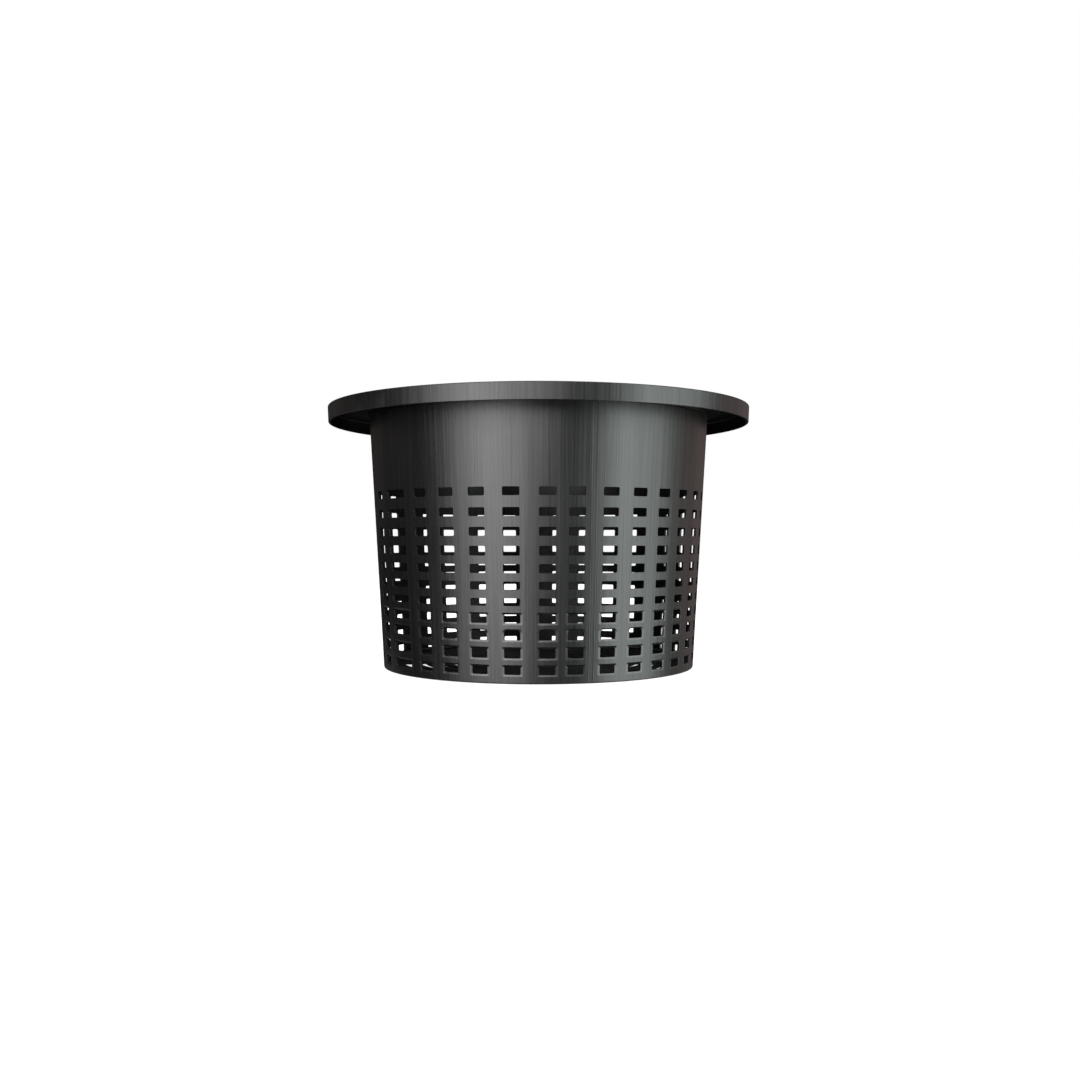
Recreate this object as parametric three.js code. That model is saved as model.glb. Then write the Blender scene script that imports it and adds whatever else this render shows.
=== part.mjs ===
// Hydroponic net pot, the outer pot that hangs in the lid of a reservoir.
// Three mouldings: a perforated basket wall, a flange ring that its lip hangs in,
// and a slotted floor that snaps in above the foot ledge.
// Millimetres, +Z up, origin on the axis at the level that the pot stands on.
// Angles are counted from -Y, the side that faces the viewer, towards +X.

import * as THREE from 'three';

// Whole pot
const POT_HEIGHT = 114.8;
const BODY_DIAMETER = 151.0; // outside, level with the lower edge of the skirt
const DRAFT_DEG = 3.34; // taper of the body, each side
const WALL = 0.9;
const FOOT_EDGE = 0.4; // bevel round the foot
const CLEARANCE = 0.3; // between any two mouldings

// Flange ring
const FLANGE_REACH = 18.3; // from the body to the outside of the skirt
const SKIRT_HEIGHT = 6.9;
const FLANGE_SHEET = 1.2; // thickness of the plate and of the skirt
const FLANGE_EDGE = 0.4; // bevel round the top edge
const RING_SIDES = 72;

// Lip that hangs the basket in the ring, and the snap beads that hold ring and floor
const LIP_REACH = 3.5;
const LIP_THICKNESS = 1.0;
const TOP_SNAP_REACH = 0.6;
const TOP_SNAP_RAMP = 1.2;
const FLOOR_SNAP_REACH = 0.9;
const FLOOR_SNAP_RAMP = 0.9;

// Foot ledge and floor
const LEDGE_REACH = 3.0;
const LEDGE_THICKNESS = 0.8;
const FLOOR_THICKNESS = 1.0;
const FLOOR_RIM = 7.2; // plain band round the slots
const SLOT_WIDTH = 3.5;
const SLOT_PITCH = 6.5;
const HUB_DIAMETER = 28.0;
const FLOOR_ARMS = 4;
const ARM_SECTOR_DEG = 26.0; // solid sector from one slot of a ring to the next
const FLOOR_TURN_DEG = -2.0; // how far the arms stand off square to the viewer
const SLOT_STEP_DEG = 9.0; // longest chord of a slot's arc

// Columns of windows: two moulded runs on one pitch, set half a pitch apart. Where the
// second run ends it opens into the first column, which makes one double window.
const COLUMNS = 34;
const SECOND_RUN = 9;
const FIRST_COLUMN_DEG = -51.1;
const RUN_OFFSET = 0.5; // in pitches
// Where the two halves of the mould meet, near the front and half a turn on, the columns
// that start at this one stand off the pitch
const MEETING_COLUMN = 4;
const MEETING_SHIFTS_DEG = [0.4, 1.05, -0.35];
const WINDOW_WIDTH = 7.0; // round the outside, at the body diameter

// Rows of windows: plain ones whose heads close up downwards, then bevelled ones above the foot
const COLLAR = 30.85; // from the lower edge of the skirt to the heads of the first row
const PLAIN_PITCH = 7.98;
const PITCH_RATIO = 0.961;
const PLAIN_HEIGHTS = [3.4, 3.45, 3.45, 3.8, 3.55, 3.2, 3.0]; // clear heights from the top; the last holds on
const FRAMED_ROWS = [
  // from the foot: sill above the lowest sill, and clear height
  { rise: 0, height: 3.1 },
  { rise: 6.45, height: 3.7 },
  { rise: 13.55, height: 3.9 },
  { rise: 20.2, height: 3.4 },
];
const FRAME_SIDE = 1.05; // widths of the bevel round a framed window
const FRAME_TOP = 0.9;
const FRAME_SILL = 0.75;
const LEAST_BAR = 1.2; // least plain bar between the plain and the framed rows
const SILL_LAND = 0.35; // from the floor's snap bead to the lowest window

const PLASTIC_BLACK = 0x2a2a2b;
const PLASTIC_ROUGHNESS = 0.42;

// Levels and radii that follow from the dimensions
const skirtBottom = POT_HEIGHT - SKIRT_HEIGHT;
const draftSlope = Math.tan(THREE.MathUtils.degToRad(DRAFT_DEG));
const bodyRadius = (level) => BODY_DIAMETER / 2 + (level - skirtBottom) * draftSlope;
const innerRadius = (level) => bodyRadius(level) - WALL;
const lipUnderside = POT_HEIGHT - LIP_THICKNESS;
const lipRadius = bodyRadius(POT_HEIGHT) + LIP_REACH;
const seatTop = lipUnderside - CLEARANCE;
const seatUnderside = seatTop - FLANGE_SHEET;
const topSnapLevel = seatUnderside - CLEARANCE;
const floorUnderside = LEDGE_THICKNESS + CLEARANCE;
const floorTop = floorUnderside + FLOOR_THICKNESS;
const floorSnapLevel = floorTop + CLEARANCE;
const floorSnapTop = floorSnapLevel + FLOOR_SNAP_RAMP;
const columnPitch = (2 * Math.PI) / COLUMNS;
const halfWindow = WINDOW_WIDTH / BODY_DIAMETER;

function plasticMesh(name, geometry) {
  const material = new THREE.MeshStandardMaterial({
    color: PLASTIC_BLACK,
    roughness: PLASTIC_ROUGHNESS,
    metalness: 0,
  });
  const mesh = new THREE.Mesh(geometry, material);
  mesh.name = name;
  return mesh;
}

// Rows from the foot upwards, each with the levels of its sill and head
function windowRows() {
  const lowestSill = floorSnapTop + SILL_LAND;
  const framed = FRAMED_ROWS.map(({ rise, height }) => {
    return { sill: lowestSill + rise, head: lowestSill + rise + height, framed: true };
  });
  const lowestPlainSill = framed.at(-1).head + FRAME_TOP + LEAST_BAR;
  const heightOf = (row) => PLAIN_HEIGHTS[row] ?? PLAIN_HEIGHTS.at(-1);
  const plain = [];
  let head = skirtBottom - COLLAR;
  let pitch = PLAIN_PITCH;
  while (head - heightOf(plain.length) > lowestPlainSill) {
    plain.push({ sill: head - heightOf(plain.length), head, framed: false });
    head -= pitch;
    pitch *= PITCH_RATIO;
  }
  return [...framed, ...plain.reverse()];
}

// Stations round the wall. Each says whether the wall is open from it to the next one,
// and which way a bevel widens the window there: -1 back, +1 on, 0 not at all.
function windowStations() {
  const first = THREE.MathUtils.degToRad(FIRST_COLUMN_DEG);
  const mainRun = COLUMNS - SECOND_RUN;
  const stations = [
    { angle: first - RUN_OFFSET * columnPitch - halfWindow, open: true, widen: -1 },
    { angle: first - (RUN_OFFSET * columnPitch) / 2, open: true, widen: 0 },
    { angle: first + halfWindow, open: false, widen: 1 },
  ];
  const addColumn = (place) => {
    const shift = MEETING_SHIFTS_DEG[(place - MEETING_COLUMN) % (COLUMNS / 2)] ?? 0;
    const centre = first + place * columnPitch + THREE.MathUtils.degToRad(shift);
    stations.push({ angle: centre - halfWindow, open: true, widen: -1 });
    stations.push({ angle: centre + halfWindow, open: false, widen: 1 });
  };
  for (let i = 1; i < mainRun; i += 1) {
    addColumn(i);
  }
  const wideRib = first + (mainRun - 1 + (1 + RUN_OFFSET) / 2) * columnPitch;
  stations.push({ angle: wideRib, open: false, widen: 0 });
  for (let i = 0; i < SECOND_RUN - 1; i += 1) {
    addColumn(mainRun + RUN_OFFSET + i);
  }
  return stations;
}

// Closed section of the basket wall, up the outside and down the inside, with the places
// of each row's sill and head on both faces
function basketSection(rows) {
  const section = [];
  const add = (radius, level, spread = 0) => {
    section.push({ radius, level, spread: spread / radius });
    return section.length - 1;
  };
  add(bodyRadius(0) - FOOT_EDGE, 0);
  add(bodyRadius(FOOT_EDGE), FOOT_EDGE);
  const openings = rows.map(({ sill, head, framed }) => {
    const sillOut = framed ? sill - FRAME_SILL : sill;
    const headOut = framed ? head + FRAME_TOP : head;
    const spread = framed ? FRAME_SIDE : 0;
    const outerSill = add(bodyRadius(sillOut), sillOut, spread);
    const outerHead = add(bodyRadius(headOut), headOut, spread);
    return { outerSill, outerHead };
  });
  add(bodyRadius(topSnapLevel - TOP_SNAP_RAMP), topSnapLevel - TOP_SNAP_RAMP);
  add(bodyRadius(topSnapLevel) + TOP_SNAP_REACH, topSnapLevel);
  add(bodyRadius(topSnapLevel), topSnapLevel);
  add(bodyRadius(lipUnderside), lipUnderside);
  add(lipRadius, lipUnderside);
  add(lipRadius, POT_HEIGHT);
  add(innerRadius(POT_HEIGHT), POT_HEIGHT);
  for (let i = rows.length - 1; i >= 0; i -= 1) {
    const { sill, head } = rows[i];
    openings[i].innerHead = add(innerRadius(head), head);
    openings[i].innerSill = add(innerRadius(sill), sill);
  }
  add(innerRadius(floorSnapTop), floorSnapTop);
  add(innerRadius(floorSnapLevel) - FLOOR_SNAP_REACH, floorSnapLevel);
  add(innerRadius(floorSnapLevel), floorSnapLevel);
  add(innerRadius(LEDGE_THICKNESS), LEDGE_THICKNESS);
  add(innerRadius(LEDGE_THICKNESS) - LEDGE_REACH, LEDGE_THICKNESS);
  add(innerRadius(LEDGE_THICKNESS) - LEDGE_REACH, 0);
  return { section, openings };
}

// The wall is its section revolved from station to station, with the cells of the windows
// left out on both faces and their sills, heads and jambs closing them through the wall
function basketWall() {
  const { section, openings } = basketSection(windowRows());
  const stations = windowStations();
  const positions = [];
  section.forEach(({ radius, level, spread }) => {
    stations.forEach(({ angle, widen }) => {
      const turned = angle + widen * spread;
      positions.push(radius * Math.sin(turned), -radius * Math.cos(turned), level);
    });
  });
  const vertex = (i, k) => (i % section.length) * stations.length + (k % stations.length);
  const indices = [];
  const addQuad = (a, b, c, d) => {
    indices.push(a, b, c, a, c, d);
  };
  const pierced = new Set();
  openings.forEach(({ outerSill, innerHead }) => {
    pierced.add(outerSill);
    pierced.add(innerHead);
  });
  for (let i = 0; i < section.length; i += 1) {
    for (let k = 0; k < stations.length; k += 1) {
      if (!(pierced.has(i) && stations[k].open)) {
        addQuad(vertex(i, k), vertex(i, k + 1), vertex(i + 1, k + 1), vertex(i + 1, k));
      }
    }
  }
  openings.forEach(({ outerSill, outerHead, innerSill, innerHead }) => {
    stations.forEach(({ open, widen }, k) => {
      if (open) {
        const next = k + 1;
        addQuad(vertex(outerSill, k), vertex(outerSill, next), vertex(innerSill, next), vertex(innerSill, k));
        addQuad(vertex(outerHead, k), vertex(innerHead, k), vertex(innerHead, next), vertex(outerHead, next));
      }
      if (widen < 0) {
        addQuad(vertex(outerSill, k), vertex(innerSill, k), vertex(innerHead, k), vertex(outerHead, k));
      }
      if (widen > 0) {
        addQuad(vertex(outerSill, k), vertex(outerHead, k), vertex(innerHead, k), vertex(innerSill, k));
      }
    });
  });
  const geometry = new THREE.BufferGeometry();
  geometry.setAttribute('position', new THREE.Float32BufferAttribute(positions, 3));
  geometry.setIndex(indices);
  geometry.computeVertexNormals();
  return plasticMesh('basket_wall', geometry);
}

// Plate and skirt in one sheet, stepped down by the bore into a seat for the basket's lip
function rimFlange() {
  const outer = BODY_DIAMETER / 2 + FLANGE_REACH;
  const skirtInside = outer - FLANGE_SHEET;
  const bore = bodyRadius(seatTop) + CLEARANCE;
  const seatRadius = lipRadius + CLEARANCE;
  const profile = [
    [bore, seatUnderside],
    [seatRadius + FLANGE_SHEET, seatUnderside],
    [seatRadius + FLANGE_SHEET, POT_HEIGHT - FLANGE_SHEET],
    [skirtInside, POT_HEIGHT - FLANGE_SHEET],
    [skirtInside, skirtBottom],
    [outer, skirtBottom],
    [outer, POT_HEIGHT - FLANGE_EDGE],
    [outer - FLANGE_EDGE, POT_HEIGHT],
    [seatRadius, POT_HEIGHT],
    [seatRadius, seatTop],
    [bore, seatTop],
    [bore, seatUnderside],
  ];
  const points = profile.map(([radius, level]) => new THREE.Vector2(radius, level));
  const geometry = new THREE.LatheGeometry(points, RING_SIDES);
  geometry.rotateX(Math.PI / 2);
  return plasticMesh('rim_flange', geometry);
}

// Angles of the points on a ring of slots, slot by slot
function slotAngles(steps) {
  const pitch = (2 * Math.PI) / FLOOR_ARMS;
  const halfArm = THREE.MathUtils.degToRad(ARM_SECTOR_DEG) / 2;
  const angles = [];
  for (let i = 0; i < FLOOR_ARMS; i += 1) {
    const from = THREE.MathUtils.degToRad(FLOOR_TURN_DEG) + i * pitch + halfArm;
    for (let k = 0; k <= steps; k += 1) {
      angles.push(from + ((pitch - 2 * halfArm) * k) / steps);
    }
  }
  return angles;
}

// Floor disc that rests on the foot ledge, with rings of arc slots between rim and hub. Each slot is
// ended by the sides of the solid arms. The faces are bands between circles of points.
function baseGrid() {
  const positions = [];
  const indices = [];
  const addPoint = (radius, angle) => {
    const x = radius * Math.cos(angle);
    const y = radius * Math.sin(angle);
    positions.push(x, y, floorUnderside, x, y, floorTop);
    return positions.length / 3 - 2;
  };
  const addFlat = (a, b, c) => {
    indices.push(a + 1, b + 1, c + 1, c, b, a);
  };
  const addSide = (a, b) => {
    indices.push(a, b, b + 1, a, b + 1, a + 1);
  };
  const radius = innerRadius(LEDGE_THICKNESS) - CLEARANCE;
  const steps = Math.ceil((360 / FLOOR_ARMS - ARM_SECTOR_DEG) / SLOT_STEP_DEG);
  const ringAngles = slotAngles(steps);
  const side = (2 * Math.PI) / RING_SIDES;
  const firstSide = Math.round(ringAngles[0] / side);
  const rimAngles = Array.from({ length: RING_SIDES }, (_, i) => (firstSide + i) * side);
  const at = (list, i) => list[i % list.length];
  const turned = (angles, i) => at(angles, i) + 2 * Math.PI * Math.floor(i / angles.length);
  const addBand = (outside, outsideAngles, inside, insideAngles) => {
    let i = 0;
    let k = 0;
    while (i < outside.length || k < inside.length) {
      const onward = k === inside.length || turned(outsideAngles, i + 1) < turned(insideAngles, k + 1);
      if (i < outside.length && onward) {
        addFlat(at(outside, i), at(outside, i + 1), at(inside, k));
        i += 1;
      } else {
        addFlat(at(outside, i), at(inside, k + 1), at(inside, k));
        k += 1;
      }
    }
  };
  let edge = rimAngles.map((angle) => addPoint(radius, angle));
  let edgeAngles = rimAngles;
  edge.forEach((point, i) => addSide(point, at(edge, i + 1)));
  for (let outer = radius - FLOOR_RIM; outer - SLOT_PITCH > HUB_DIAMETER / 2; outer -= SLOT_PITCH) {
    const outside = ringAngles.map((angle) => addPoint(outer, angle));
    const inside = ringAngles.map((angle) => addPoint(outer - SLOT_WIDTH, angle));
    addBand(edge, edgeAngles, outside, ringAngles);
    outside.forEach((point, k) => {
      const next = at(outside, k + 1);
      const place = k % (steps + 1);
      if (place === steps) {
        addFlat(point, next, at(inside, k + 1));
        addFlat(point, at(inside, k + 1), inside[k]);
        addSide(inside[k], point);
      } else {
        addSide(next, point);
        addSide(inside[k], inside[k + 1]);
      }
      if (place === 0) {
        addSide(point, inside[k]);
      }
    });
    edge = inside;
    edgeAngles = ringAngles;
  }
  const middle = addPoint(0, 0);
  edge.forEach((point, i) => addFlat(point, at(edge, i + 1), middle));
  const geometry = new THREE.BufferGeometry();
  geometry.setAttribute('position', new THREE.Float32BufferAttribute(positions, 3));
  geometry.setIndex(indices);
  geometry.computeVertexNormals();
  return plasticMesh('base_grid', geometry);
}

const pot = new THREE.Group();
pot.name = 'net_pot';
pot.add(rimFlange(), basketWall(), baseGrid());

export default pot;
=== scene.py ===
"""Hydroponic net pot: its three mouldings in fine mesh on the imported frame, and the studio round it.

Metres, +Z up. Angles round the pot are counted from -Y, the side that faces the viewer, towards +X.
"""

import math
from typing import NamedTuple

import bmesh
import bpy
from bpy.props import FloatProperty, FloatVectorProperty, IntProperty, PointerProperty
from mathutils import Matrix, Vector


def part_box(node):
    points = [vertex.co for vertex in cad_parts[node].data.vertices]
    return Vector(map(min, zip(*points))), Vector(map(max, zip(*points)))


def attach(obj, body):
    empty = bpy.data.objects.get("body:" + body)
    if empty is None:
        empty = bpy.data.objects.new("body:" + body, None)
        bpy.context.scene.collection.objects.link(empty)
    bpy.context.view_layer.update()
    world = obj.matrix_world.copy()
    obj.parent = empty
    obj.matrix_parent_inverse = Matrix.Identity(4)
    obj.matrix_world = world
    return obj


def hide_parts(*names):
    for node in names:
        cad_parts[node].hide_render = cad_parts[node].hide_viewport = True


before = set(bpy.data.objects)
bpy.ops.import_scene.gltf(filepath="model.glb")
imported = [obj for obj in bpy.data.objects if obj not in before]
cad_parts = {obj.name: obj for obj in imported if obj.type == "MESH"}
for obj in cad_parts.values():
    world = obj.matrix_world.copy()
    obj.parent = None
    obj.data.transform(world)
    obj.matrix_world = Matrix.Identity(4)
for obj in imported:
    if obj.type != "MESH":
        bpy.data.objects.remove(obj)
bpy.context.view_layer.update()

bl_info = {
    "name": "Net pot",
    "version": (1, 0, 0),
    "blender": (4, 5, 0),
    "location": "View3D > Sidebar > Net pot",
    "description": "Builds a perforated hydroponic net pot and the studio that it stands in",
    "category": "Add Mesh",
}

FLANGE_LOW, FLANGE_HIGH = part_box("rim_flange")
WALL_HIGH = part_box("basket_wall")[1]
FLOOR_LOW, FLOOR_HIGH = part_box("base_grid")

MM = 0.001
WELD = 1e-6  # points closer than this are one point
CORNER_STEPS = 2  # steps in half of a window's rounded corner
EDGE_STEPS = 3  # steps across a rounded edge
LINE_STEPS = 6  # steps across a parting line
LINE_START = 1.5  # where the parting lines start, in roundings of the foot


def length(title, text, millimetres):
    return FloatProperty(name=title, description=text, default=millimetres * MM, precision=5, unit="LENGTH")


def lengths(title, text, millimetres):
    sizes = [value * MM for value in millimetres]
    return FloatVectorProperty(
        name=title, description=text, default=sizes, size=len(sizes), precision=5, unit="LENGTH"
    )


def angle(title, text, degrees):
    return FloatProperty(name=title, description=text, default=math.radians(degrees), subtype="ANGLE")


def share(title, text, value):
    return FloatProperty(name=title, description=text, default=value, min=0.0, subtype="FACTOR")


def watts(title, text, value):
    return FloatProperty(name=title, description=text, default=value, min=0.0, unit="POWER")


def count(title, text, value):
    return IntProperty(name=title, description=text, default=value, min=1)


def colour(title, text, value):
    return FloatVectorProperty(name=title, description=text, default=value, min=0.0, max=1.0, subtype="COLOR")


class NETPOT_PG_wall(bpy.types.PropertyGroup):
    """Sizes of the tapered wall, its lip, its foot and the beads that hold the other mouldings."""

    height: length("Height", "Top of the lip above the surface that the pot stands on", WALL_HIGH[2] / MM)
    body: length("Body diameter", "Outside of the body, level with the lower edge of the skirt", 151.0)
    draft: angle("Draft", "Taper of the body, each side", 3.34)
    sheet: length("Wall", "Thickness of the wall", 0.9)
    clearance: length("Clearance", "Gap between two mouldings", 0.3)
    lip_reach: length("Lip reach", "How far the lip stands out from the body", 3.5)
    lip_thickness: length("Lip thickness", "Thickness of the lip", 1.0)
    top_reach: length("Top bead reach", "How far the bead under the flange stands out", 0.3)
    top_ramp: length("Top bead ramp", "Height of the ramp of the bead under the flange", 1.2)
    floor_reach: length("Floor bead reach", "How far the bead above the floor stands out", 0.9)
    floor_ramp: length("Floor bead ramp", "Height of the ramp of the bead above the floor", 0.9)
    ledge_reach: length("Ledge reach", "How far the foot ledge reaches in under the floor", 3.0)
    ledge_thickness: length("Ledge thickness", "Thickness of the foot ledge", 0.8)
    foot_round: length("Foot rounding", "Radius round the foot", 0.55)
    edge_round: length("Edge rounding", "Radius of the small moulded edges", 0.2)


class NETPOT_PG_windows(bpy.types.PropertyGroup):
    """Sizes of the windows and of the rows and columns that they stand in."""

    columns: count("Columns", "Columns of windows in a full turn", 34)
    second_run: count("Second run", "Columns that stand half a pitch off", 9)
    first: angle("First column", "Middle of the first column", -51.1)
    run_offset: share("Run offset", "Step between the two runs of columns, in pitches", 0.5)
    meeting: count("Meeting column", "First column off the pitch, where the halves of the mould meet", 4)
    width: length("Window width", "Width round the outside, at the body diameter", 7.0)
    collar: length("Collar", "From the lower edge of the skirt to the heads of the first row", 30.85)
    pitch: length("Pitch", "Step between the heads of the two highest rows", 7.98)
    pitch_ratio: share("Pitch ratio", "Each step down over the step above it", 0.961)
    heights: lengths(
        "Heights", "Clear heights of the plain rows, from the top", (3.4, 3.45, 3.45, 3.8, 3.55, 3.2, 3.0)
    )
    framed_rises: lengths(
        "Framed rises", "Sills of the framed rows above the lowest sill", (0.0, 6.45, 13.55, 20.2)
    )
    framed_heights: lengths(
        "Framed heights", "Clear heights of the framed rows, from the foot", (3.1, 3.7, 3.9, 3.4)
    )
    frame_side: length("Frame side", "Width of a frame's bevel beside the window", 1.0)
    frame_head: length("Frame head", "Width of a frame's bevel above the window", 0.75)
    frame_sill: length("Frame sill", "Width of a frame's bevel below the window", 0.7)
    side_depth: length("Side depth", "How deep the bevel beside the window goes into the wall", 0.06)
    head_depth: length("Head depth", "How deep the bevel above the window goes into the wall", 0.55)
    sill_depth: length("Sill depth", "How deep the bevel below the window goes into the wall", 0.15)
    sill_land: length("Sill land", "From the floor's bead to the lowest window", 0.35)
    corner: length("Corner", "Radius in a window's corners", 0.55)
    arched_row: count("Arched row", "Row above the foot whose windows have arched heads", 3)
    arch: length("Arch", "Radius at the head of an arched window", 1.2)
    edge_round: length("Edge rounding", "Radius of the edges of the windows", 0.05)


class NETPOT_PG_parting(bpy.types.PropertyGroup):
    """Sizes of the fine lines that the mould leaves where its halves part."""

    first: angle("First line", "Bearing of the first line; it comes again half a turn on", 16.4)
    step: angle("Step", "From the first line to the one beside it", 1.7)
    width: length("Width", "Width of a line", 0.5)
    rise: length("Rise", "How far a line stands proud of the wall", 0.06)
    depth: length("Depth", "How far a line is rooted in the wall", 0.2)


class NETPOT_PG_flange(bpy.types.PropertyGroup):
    """Sizes of the flange ring."""

    radius: length("Radius", "Outside of the skirt", FLANGE_HIGH[0] / MM)
    skirt_level: length("Skirt level", "Lower edge of the skirt", FLANGE_LOW[2] / MM)
    sheet: length("Sheet", "Thickness of the plate and of the skirt", 1.2)
    draft: angle("Draft", "Taper of the skirt, each side", 2.4)
    edge_round: length("Edge rounding", "Radius round the top edge", 0.45)
    inner_round: length("Inner rounding", "Radius of the other edges", 0.25)
    sides: count("Sides", "Steps round the ring", 288)


class NETPOT_PG_floor(bpy.types.PropertyGroup):
    """Sizes of the slotted floor."""

    radius: length("Radius", "Outside of the disc", FLOOR_HIGH[0] / MM)
    underside: length("Underside", "Level of the underside", FLOOR_LOW[2] / MM)
    top: length("Top", "Level of the top", FLOOR_HIGH[2] / MM)
    rim: length("Rim", "Plain band round the slots", 7.2)
    slot: length("Slot width", "Width of an arc slot", 3.5)
    pitch: length("Slot pitch", "Step between rings of slots", 6.5)
    hub: length("Hub diameter", "Plain disc in the middle", 28.0)
    arms: count("Arms", "Solid arms between the slots of a ring", 4)
    arm_sector: angle("Arm sector", "From one slot of a ring to the next", 26.0)
    turn: angle("Turn", "How far the arms stand off square to the viewer", -2.0)
    edge_round: length("Edge rounding", "Radius of the edges", 0.18)


class NETPOT_PG_finish(bpy.types.PropertyGroup):
    """Colours and sheen of the black plastic."""

    body: colour("Body colour", "Black of the plastic", (0.0032, 0.0032, 0.0033))
    streak: colour("Streak colour", "Paler flow streaks in the plastic", (0.0075, 0.0075, 0.0077))
    dust: colour("Dust colour", "Dry dust that lies on upward faces", (0.05, 0.049, 0.047))
    wall_roughness: share("Wall roughness", "Roughness of the wall", 0.36)
    flange_roughness: share("Flange roughness", "Roughness of the flange", 0.36)
    floor_roughness: share("Floor roughness", "Roughness of the floor", 0.5)
    inside_roughness: share("Inside roughness", "Roughness of the inside and of the flange's underside", 0.3)
    top_roughness: share("Top roughness", "Roughness of the top of the flange and lip", 0.45)
    # The bevels round the low windows get a more reflective copy of the wall's finish, which paints a
    # highlight on their sides and sills.
    bevel_roughness: share("Bevel roughness", "Roughness of the burnished bevels round the low windows", 0.36)
    streak_gloss: share("Streak gloss", "Coat that the glossiest streaks get", 0.45)
    streak_height: length("Streak height", "Height of the drawn streaks", 0.085)


class NETPOT_PG_studio(bpy.types.PropertyGroup):
    """Power of the soft panels, and the camera."""

    key_left: watts("Left key", "Tall panel on the left", 2.81)
    key_left_outer: watts("Left outer key", "Dimmer panel outside the left key", 1.37)
    key_left_low: watts("Left foot light", "Low panel on the left", 0.85)
    front_left: watts("Front left fill", "Narrow panel beside the left key", 1.14)
    front_low: watts("Front fill", "Small panel just above the camera", 0.52)
    front_high: watts("Front high fill", "Small panel higher above the camera", 0.6)
    key_right: watts("Right key", "Tall panel on the right", 2.7)
    key_right_low: watts("Right foot light", "Low panel on the right", 1.26)
    key_right_outer: watts("Right outer key", "Tall panel outside the right key", 3.45)
    rear_right: watts("Rear right", "Faint warm panel behind on the right", 0.265)
    rear_left: watts("Rear left", "Faint warm panel behind on the left", 0.06)
    rear_low_right: watts("Rear low right", "Low panel behind on the right", 0.2)
    rear_low_left: watts("Rear low left", "Low panel behind on the left", 0.2)
    overhead: watts("Overhead", "Wide panel above the mouth", 5.7)
    lens: FloatProperty(name="Lens", description="Focal length on a 36 mm sensor", default=36.2)
    eye_distance: length("Eye distance", "From the pot's axis to the camera", 492.2)
    eye_height: length("Eye height", "Height of the camera", 56.3)
    eye_side: length("Eye side", "How far the camera stands to the right of the axis", 0.68)


class PotShape:
    """Levels and radii that follow from the sizes."""

    def __init__(self, scene):
        wall = scene.net_pot_wall
        flange = scene.net_pot_flange
        floor = scene.net_pot_floor
        self.sheet = wall.sheet
        self.draft = wall.draft
        self.top = wall.height
        self.skirt_level = flange.skirt_level
        self.body_radius_at_skirt = wall.body / 2
        self.lip_underside = wall.height - wall.lip_thickness
        self.lip_radius = self.outer(wall.height) + wall.lip_reach
        self.seat_top = self.lip_underside - wall.clearance
        self.seat_underside = self.seat_top - flange.sheet
        self.top_bead = self.seat_underside - wall.clearance
        self.floor_bead = floor.top + wall.clearance
        self.floor_bead_top = self.floor_bead + wall.floor_ramp

    def outer(self, level):
        return self.body_radius_at_skirt + (level - self.skirt_level) * math.tan(self.draft)

    def inner(self, level):
        return self.outer(level) - self.sheet


OUTSIDE, INSIDE, TOP, BEVEL = range(4)  # finishes of a moulding's faces
INWARD = -0.8  # a face that looks to the axis more squarely than this is on the inside
DOWNWARD = -0.25  # a bevel that looks down more than this is over a window
UPWARD = 0.9  # a face that looks up more than this is on top


class MeshDraft:
    """Points with their normals, welded as they come, and the faces between them."""

    def __init__(self):
        self.points = []
        self.normals = []
        self.faces = []
        self.finishes = {}
        self.places = {}

    def point(self, place, normal):
        key = tuple(round(value / WELD) for value in place)
        if key not in self.places:
            self.places[key] = len(self.points)
            self.points.append(place)
            self.normals.append(normal)
        return self.places[key]

    def ring(self, radius, level, out, up, angles):
        """Points round the axis; out and up are the normal's parts away from the axis and upwards."""
        made = []
        for turn in angles:
            across, along = math.sin(turn), -math.cos(turn)
            place = Vector((radius * across, radius * along, level))
            made.append(self.point(place, Vector((out * across, out * along, up))))
        return made

    def band(self, low, high, finish=OUTSIDE):
        """Quads from a closed loop of points to the next one."""
        for k in range(len(low)):
            n = (k + 1) % len(low)
            self.finishes[len(self.faces)] = finish
            self.faces.append((low[k], low[n], high[n], high[k]))

    def revolve(self, profile, angles, finish=OUTSIDE):
        """Revolves profile points (radius, level, normal outwards, normal up) through a full turn."""
        rings = [self.ring(*point, angles) for point in profile]
        for low, high in zip(rings, rings[1:]):
            self.band(low, high, finish)

    def build(self, name, materials):
        mesh = bpy.data.meshes.new(name)
        mesh.from_pydata([tuple(p) for p in self.points], [], self.faces)
        for material in materials:
            mesh.materials.append(material)
        if len(materials) > INSIDE:
            for face in mesh.polygons:
                face.material_index = self.face_finish(face)
        mesh.polygons.foreach_set("use_smooth", [True] * len(mesh.polygons))
        mesh.update()
        check_closed(mesh)
        mesh.normals_split_custom_set_from_vertices([tuple(n.normalized()) for n in self.normals])
        made = bpy.data.objects.new(name, mesh)
        bpy.context.collection.objects.link(made)
        return made

    def face_finish(self, face):
        """The finish that a face was made with, unless it looks another way than that finish does."""
        heading = Vector((face.center.x, face.center.y, 0.0)).normalized()
        if heading.dot(face.normal) < INWARD:
            return INSIDE
        finish = self.finishes.get(face.index, OUTSIDE)
        over_window = finish == BEVEL and face.normal.z < DOWNWARD
        beside_top = finish == TOP and face.normal.z < UPWARD
        return OUTSIDE if over_window or beside_top else finish


def check_closed(mesh):
    """Raises if the mesh isn't one closed skin with its faces outwards."""
    solid = bmesh.new()
    solid.from_mesh(mesh)
    open_edges = sum(1 for edge in solid.edges if not edge.is_manifold)
    volume = solid.calc_volume(signed=True)
    solid.free()
    if open_edges or volume <= 0:
        raise RuntimeError(f"{mesh.name}: {open_edges} open edges, volume {volume}")


CORNER_SHARE = 0.45  # most that a rounded corner takes of the side next to it


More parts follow.
